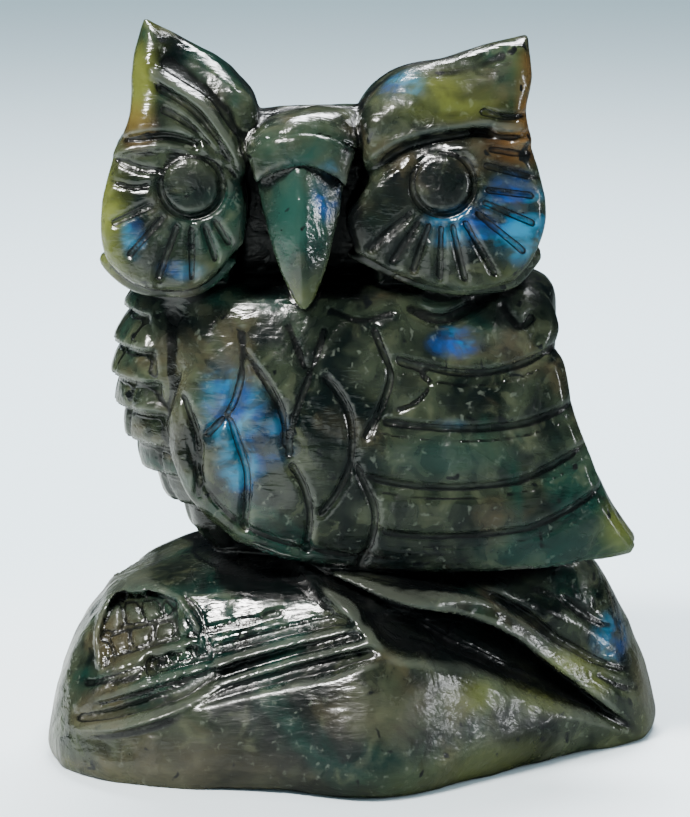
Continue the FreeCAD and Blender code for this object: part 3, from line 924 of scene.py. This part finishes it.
def region_mesh(name, code):
    """The closed mesh of one region: smooth normals on the skin, flat ones on its inner walls."""
    mine = owners == code
    faces, at_air = quads[mine], others[mine] == 0
    used, faces_local = np.unique(faces, return_inverse=True)
    faces_local = faces_local.reshape(faces.shape).astype(np.int32)
    mesh = bpy.data.meshes.new(name)
    mesh.vertices.add(len(used))
    mesh.vertices.foreach_set("co", world_points[used].ravel())
    mesh.loops.add(faces.size)
    mesh.loops.foreach_set("vertex_index", faces_local.ravel())
    mesh.polygons.add(len(faces))
    mesh.polygons.foreach_set("loop_start", np.arange(0, faces.size, 4, dtype=np.int32))
    mesh.update(calc_edges=True)
    mesh.validate()
    for key, values in SURFACE.items():
        layer = mesh.attributes.new(key, "FLOAT", "POINT")
        layer.data.foreach_set("value", values[used].astype(np.float32))
    corners = world_points[faces]
    flat = np.cross(corners[:, 2] - corners[:, 0], corners[:, 3] - corners[:, 1])
    flat /= np.maximum(np.linalg.norm(flat, axis=1), 1e-12)[:, None]
    corner_normals = np.where(at_air[:, None, None], normals[faces], flat[:, None, :])
    mesh.normals_split_custom_set(corner_normals.reshape(-1, 3))
    return mesh

# ---- the stone


class Nodes:
    """A small helper that adds shader nodes and joins them."""

    def __init__(self, material):
        material.use_nodes = True
        self.tree = material.node_tree
        self.tree.nodes.clear()
        self.place = self.add("ShaderNodeTexCoord").outputs["Object"]

    def add(self, kind, **inputs):
        node = self.tree.nodes.new(kind)
        for key, value in inputs.items():
            self.put(node.inputs[key.replace("_", " ")], value)
        return node

    def put(self, socket, value):
        if isinstance(value, bpy.types.NodeSocket):
            self.tree.links.new(value, socket)
        elif socket.type == "RGBA":
            socket.default_value = (*value, 1)
        else:
            socket.default_value = value

    def attribute(self, name):
        node = self.add("ShaderNodeAttribute")
        node.attribute_name = name
        return node.outputs["Fac"]

    def math(self, operation, a, b=0, clamp=False):
        node = self.add("ShaderNodeMath")
        node.operation = operation
        node.use_clamp = clamp
        self.put(node.inputs[0], a)
        self.put(node.inputs[1], b)
        return node.outputs[0]

    def times(self, a, b):
        return self.math("MULTIPLY", a, b)

    def plus(self, a, b, clamp=False):
        return self.math("ADD", a, b, clamp)

    def vector(self, operation, a, b=(0, 0, 0)):
        node = self.add("ShaderNodeVectorMath")
        node.operation = operation
        self.put(node.inputs[0], a)
        self.put(node.inputs[1], b)
        return node

    def ramp(self, value, low, high, out_low=0, out_high=1):
        ends = {"From_Min": low, "From_Max": high, "To_Min": out_low, "To_Max": out_high}
        node = self.add("ShaderNodeMapRange", Value=value, **ends)
        node.interpolation_type = "SMOOTHSTEP"
        return node.outputs["Result"]

    def noise(self, scale, detail, distortion, shift=(0, 0, 0), turn=(0, 0, 0), stretch=(1, 1, 1)):
        """Noise over the object, in features of 1 / scale metres."""
        moved = self.add("ShaderNodeMapping", Vector=self.place, Location=shift, Rotation=turn,
                         Scale=stretch)
        noise = self.add("ShaderNodeTexNoise", Vector=moved.outputs["Vector"], Scale=scale,
                         Detail=detail, Distortion=distortion)
        return noise.outputs["Fac"]

    def mix(self, factor, a, b, blend="MIX"):
        node = self.add("ShaderNodeMix")
        node.data_type = "RGBA"
        node.blend_type = blend
        self.put(node.inputs["Factor"], factor)
        self.put(node.inputs["A"], a)
        self.put(node.inputs["B"], b)
        return node.outputs["Result"]

    def spot(self, centre, radii, soft=0.5):
        """1 in the middle of an ellipsoid, in the sculpt's millimetres, falling to 0 at its edge."""
        x, y, z = centre
        offset = self.vector("SUBTRACT", self.place, Vector((x + SHIFT_X, y + PLANE_Y, z)) * MM)
        scaled = self.vector("MULTIPLY", offset.outputs[0], [1 / (r * MM) for r in radii])
        length = self.vector("LENGTH", scaled.outputs[0])
        return self.ramp(length.outputs["Value"], 1, 1.0 - soft)

    def finish(self, shader):
        output = self.add("ShaderNodeOutputMaterial")
        self.tree.links.new(shader.outputs["BSDF"], output.inputs["Surface"])


def stone_material():
    material = bpy.data.materials.new("labradorite")
    n = Nodes(material)
    cut, thin = n.attribute("cut"), n.attribute("thin")

    # Clouds of dark green, grey and brown, as in the rough stone
    clouds = n.noise(75, 5, 1.2)
    warm = n.noise(110, 4, 0.8, shift=(0.3, 0.1, 0.2))
    teal = n.noise(60, 4, 1, shift=(0.7, 0.4, 0.1))
    mottle = n.noise(330, 5, 0.9, shift=(0.4, 0.4, 0.6))
    grain = n.noise(1300, 3, 0.3)
    stone = n.mix(n.ramp(clouds, 0.4, 0.62), (0.0015, 0.0035, 0.003), (0.024, 0.03, 0.017))
    stone = n.mix(n.ramp(warm, 0.52, 0.68, 0, 0.7), stone, (0.045, 0.036, 0.019))
    stone = n.mix(n.ramp(teal, 0.52, 0.66, 0, 0.75), stone, (0.003, 0.024, 0.017))
    stone = n.mix(n.ramp(mottle, 0.52, 0.74, 0, 0.45), stone, (0.07, 0.075, 0.04))
    stone = n.mix(n.ramp(mottle, 0.52, 0.34, 0, 0.7), stone, (0.002, 0.004, 0.004))
    stone = n.mix(n.ramp(grain, 0.6, 0.75, 0, 0.4), stone, (0.12, 0.13, 0.1))

    # Thin edges let light through: yellow-green, and brown at one ear
    olive = n.times(n.ramp(thin, 0.2, 0.7, 0, 0.4), n.ramp(n.noise(130, 3, 0.6), 0.35, 0.65))
    stone = n.mix(olive, stone, (0.08, 0.085, 0.015))
    for centre, radii, tint, strength in TINTS:
        patches = n.ramp(n.noise(160, 4, 0.8), 0.3, 0.6, 0.25, strength)
        stone = n.mix(n.times(n.spot(centre, radii, 0.8), patches), stone, tint)

    # Black flecks
    flecks = n.ramp(n.noise(520, 2, 0.4, shift=(0.2, 0.9, 0.5)), 0.66, 0.72)
    stone = n.mix(flecks, stone, (0.004, 0.005, 0.005))

    # The blue flash, in fine parallel streaks: a painted sheen, the stone's play of colour that shows at
    # some angles, fixed in place
    streaks = n.noise(420, 3, 0.2, stretch=(0.35, 1, 1), turn=(0.3, 0.5, 0.9))
    fleck = n.ramp(n.noise(380, 4, 1.5, shift=(0.6, 0.1, 0.9)), 0.42, 0.56, 0.45, 1)
    deep_blue, sky_blue = (0.004, 0.055, 0.24), (0.018, 0.19, 0.33)
    flash_colour = n.mix(n.ramp(n.noise(240, 3, 0.5), 0.4, 0.62), deep_blue, sky_blue)
    flash = 0.0
    for centre, radii, strength in FLASHES:
        mask = n.times(n.spot(centre, radii, 0.75), n.ramp(streaks, 0.43, 0.57, 0.1, strength))
        flash = n.math("MAXIMUM", flash, mask)
    flash = n.times(flash, fleck)
    stone = n.mix(flash, stone, flash_colour)

    # Painted shade in the cuts (partly dirt) and in the hollows, the shade map painted nearly black, and
    # paler worn edges that are partly a painted highlight
    # The cuts darkened: dirt and painted shade
    dirt_and_painted_shade = n.times(n.ramp(cut, 0.06, 0.3, 0, 0.92), n.ramp(cut, 0.42, 0.7, 1, 0.3))
    soot_and_shade_tone = (0.0015, 0.002, 0.002)
    stone = n.mix(dirt_and_painted_shade, stone, soot_and_shade_tone)
    # Painted shade: hollows, concave at about 4 mm, darkened towards black
    stone = n.mix(n.ramp(thin, -0.12, -0.5, 0, 0.9), stone, soot_and_shade_tone)
    # Painted shade: the shade map's areas painted nearly black, for shadow and dark reflection
    stone = n.mix(n.attribute("shade"), stone, (0.0012, 0.0016, 0.0018))
    # Ridge edges paler: wear, and a painted highlight
    stone = n.mix(n.ramp(cut, -0.35, -1, 0, 0.28), stone, (0.12, 0.13, 0.1))

    # Polished, but duller on the boulder, in the cuts and where the burr left it rough
    chatter = n.ramp(n.noise(140, 3, 0.8, shift=(0.9, 0.2, 0.1)), 0.5, 0.66)
    chatter = n.math("MAXIMUM", chatter, n.ramp(cut, 0.05, 0.5))
    for eye_x, eye_z in EYE_AT.values():
        chatter = n.math("MAXIMUM", chatter, n.spot((eye_x, -13, eye_z), (3.6, 5, 3.6), 0.4))
    roughness = n.ramp(n.noise(300, 4, 0.3), 0.3, 0.7, 0.1, 0.26)
    roughness = n.plus(roughness, n.times(chatter, 0.12))
    for centre, radii, amount in DULL:
        roughness = n.plus(roughness, n.times(n.spot(centre, radii, 0.6), amount), True)
    relief = n.times(n.noise(240, 4, 0.4), 0.5)
    relief = n.plus(relief, n.times(n.times(n.noise(850, 4, 0.6), chatter), 0.75))
    scratches = n.noise(1500, 3, 0.3, stretch=(0.18, 1, 1), turn=(0.2, 0.45, 0.3))
    relief = n.plus(relief, n.times(scratches, 0.38))
    bump = n.add("ShaderNodeBump", Strength=0.6, Distance=0.0004, Height=relief).outputs["Normal"]

    coat = n.ramp(n.attribute("shade"), 0, 1, 0.25, 0)
    shader = n.add(
        "ShaderNodeBsdfPrincipled",
        Base_Color=stone,
        Metallic=n.times(flash, 0.3),
        Roughness=roughness,
        IOR=1.5,
        Normal=bump,
        Coat_Weight=coat,
        Coat_Roughness=0.08,
        Coat_IOR=1.5,
        Coat_Normal=bump,
    )
    n.finish(shader)
    return material


# Where the polish is duller: (centre, radii, added roughness)
DULL = [((0, -18, 4), (32, 12, 9), 0.24)]
# Where the painted blue flash sheen shows: (centre, radii, strength)
FLASHES = [
    ((-11.6, -13, 36.4), (4, 6, 6.4), 0.6),
    ((-10.8, -13, 31), (3.2, 6, 5.4), 0.5),
    ((-7.4, -13, 33), (2.4, 6, 3.4), 0.35),
    ((15.4, -13, 54.4), (4.4, 6, 5.4), 0.9),
    ((10.5, -13, 53.6), (5, 6, 2.6), 0.65),
    ((-2.4, -15, 57.2), (1.9, 5, 3.6), 0.75),
    ((10, -13, 42.4), (3.6, 5, 1.9), 0.85),
    ((-21, -13, 52.6), (1.6, 5, 2.6), 0.5),
    ((-16.4, -13, 49.6), (3, 5, 1.4), 0.3),
    ((9.4, -13, 34.6), (2.2, 5, 0.9), 0.6),
    ((26, -6, 11), (3, 8, 3.5), 0.5),
    ((4.6, -10, 66.8), (3, 5, 2.5), 0.4),
]
# Where the stone is yellow-green or brown: (centre, radii, colour, strength)
OLIVE, BROWN, TEAL = (0.115, 0.125, 0.024), (0.12, 0.055, 0.014), (0.01, 0.04, 0.03)
KHAKI, BLACK = (0.065, 0.055, 0.03), (0.003, 0.005, 0.0045)
TINTS = [
    ((-23.5, -10.5, 55), (3.2, 7.5, 9.5), OLIVE, 0.9),
    ((-20.5, -10.5, 67), (2.4, 6, 7), OLIVE, 0.8),
    ((9, -9, 65.5), (8, 6, 3.4), OLIVE, 0.8),
    ((16.8, -9, 65.5), (2, 7, 6.5), BROWN, 0.95),
    ((15.6, -12, 61.4), (4, 6, 2.8), BROWN, 0.7),
    ((-20.6, -11, 63), (2.6, 7, 3.4), BROWN, 0.5),
    ((-5, -15, 55), (5, 5, 9), TEAL, 0.9),
    ((-5, -14, 61.5), (6, 5, 3.5), TEAL, 0.7),
    ((-17.6, -12, 38), (2.8, 8, 9), KHAKI, 0.5),
    ((-1.6, -14, 32.5), (4.2, 6, 8), BLACK, 0.75),
    ((5.2, -14, 38.6), (2.6, 6, 2.2), BLACK, 0.8),
    ((27, -10, 24), (4.5, 7, 4), OLIVE, 0.6),
    ((10, -18, 2), (20, 9, 3.5), OLIVE, 0.4),
    ((-14, -18, 2), (16, 9, 5), KHAKI, 0.6),
    ((4, -20, 8), (10, 8, 4), KHAKI, 0.5),
    ((12, -17, 8.5), (5, 8, 2.5), OLIVE, 0.45),
    ((-17.2, -13, 54), (6, 6, 7), BLACK, 0.8),
    ((5, -13, 54.5), (7.5, 6, 7), BLACK, 0.75),
    ((21.5, -11, 8.2), (8.5, 8, 4), OLIVE, 0.75),
    ((18, -13, 22), (9, 6, 4), TEAL, 0.5),
    ((9, -14, 31.5), (9, 6, 3), TEAL, 0.4),
    ((30, -3, 6), (3, 8, 8), KHAKI, 0.6),
    ((-25, -14, 6), (5, 9, 3), KHAKI, 0.6),
    ((-21, -12, 13.5), (6, 8, 4.5), KHAKI, 0.5),
]


def add_object(name, data):
    thing = bpy.data.objects.new(name, data)
    bpy.context.scene.collection.objects.link(thing)
    return thing


stone = stone_material()
for code, node in enumerate(NODES, 1):
    mesh = region_mesh(node + "_stone", code)
    piece = add_object(node + "_stone", mesh)
    mesh.materials.append(stone)
    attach(piece, "root")
    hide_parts(node)

# ---- floor, light and camera


def floor_material():
    material = bpy.data.materials.new("pale_floor")
    n = Nodes(material)
    away = n.vector("LENGTH", n.place).outputs["Value"]
    tone = n.mix(n.ramp(away, 0.045, 0.09), (0.82, 0.9, 0.94), (0.74, 0.87, 0.94))
    # The polished stone mirrors a dim floor, paler towards its left
    across = n.add("ShaderNodeSeparateXYZ", Vector=n.place).outputs["X"]
    mirrored = n.mix(n.ramp(across, -0.035, -0.012), (0.42, 0.44, 0.42), (0.05, 0.06, 0.06))
    tone = n.mix(n.add("ShaderNodeLightPath").outputs["Is Glossy Ray"], tone, mirrored)
    n.finish(n.add("ShaderNodeBsdfPrincipled", Base_Color=tone, Roughness=0.6))
    return material


def add_floor():
    half = 3.0
    corners = [(-half, -half, 0), (half, -half, 0), (half, half, 0), (-half, half, 0)]
    mesh = bpy.data.meshes.new("floor")
    mesh.from_pydata(corners, [], [(0, 1, 2, 3)])
    floor = add_object("floor", mesh)
    mesh.materials.append(floor_material())


TARGET = Vector((SHIFT_X - 0.8, PLANE_Y, 33.3)) * MM


def aim(thing, place):
    thing.location = place
    thing.rotation_euler = (TARGET - Vector(place)).to_track_quat("-Z", "Y").to_euler()


def add_light(name, place, size, power, tint):
    data = bpy.data.lights.new(name, "AREA")
    data.shape = "RECTANGLE"
    data.size, data.size_y = size
    data.energy = power
    data.color = tint
    aim(add_object(name, data), place)


def add_camera():
    reach, rise = 0.345, math.radians(12)
    data = bpy.data.cameras.new("camera")
    data.sensor_fit = "VERTICAL"
    data.sensor_height = 36
    data.lens = 152
    camera = add_object("camera", data)
    aim(camera, TARGET + Vector((0, -reach * math.cos(rise), reach * math.sin(rise))))
    bpy.context.scene.camera = camera


def add_world():
    world = bpy.data.worlds.new("studio")
    bpy.context.scene.world = world
    world.use_nodes = True
    # A dim room: the camera sees a pale wall, the polished stone mirrors a dark one
    tree = world.node_tree
    background = tree.nodes["Background"]
    path_node = tree.nodes.new("ShaderNodeLightPath")
    tone = tree.nodes.new("ShaderNodeMix")
    tone.data_type = "RGBA"
    tone.inputs["A"].default_value = (0.6, 0.8, 0.88, 1)
    tone.inputs["B"].default_value = (0.02, 0.026, 0.03, 1)
    tree.links.new(path_node.outputs["Is Glossy Ray"], tone.inputs["Factor"])
    tree.links.new(tone.outputs["Result"], background.inputs["Color"])
    background.inputs["Strength"].default_value = 0.95


add_floor()
add_light("top_left", (-0.2, -0.22, 0.42), (0.12, 0.08), 5.5, (1, 0.98, 0.95))
add_light("top_back", (0.05, 0.25, 0.45), (0.3, 0.12), 6, (0.96, 0.98, 1))
add_light("right_side", (0.45, -0.1, 0.12), (0.03, 0.16), 0.5, (0.96, 0.98, 1))
add_camera()
add_world()
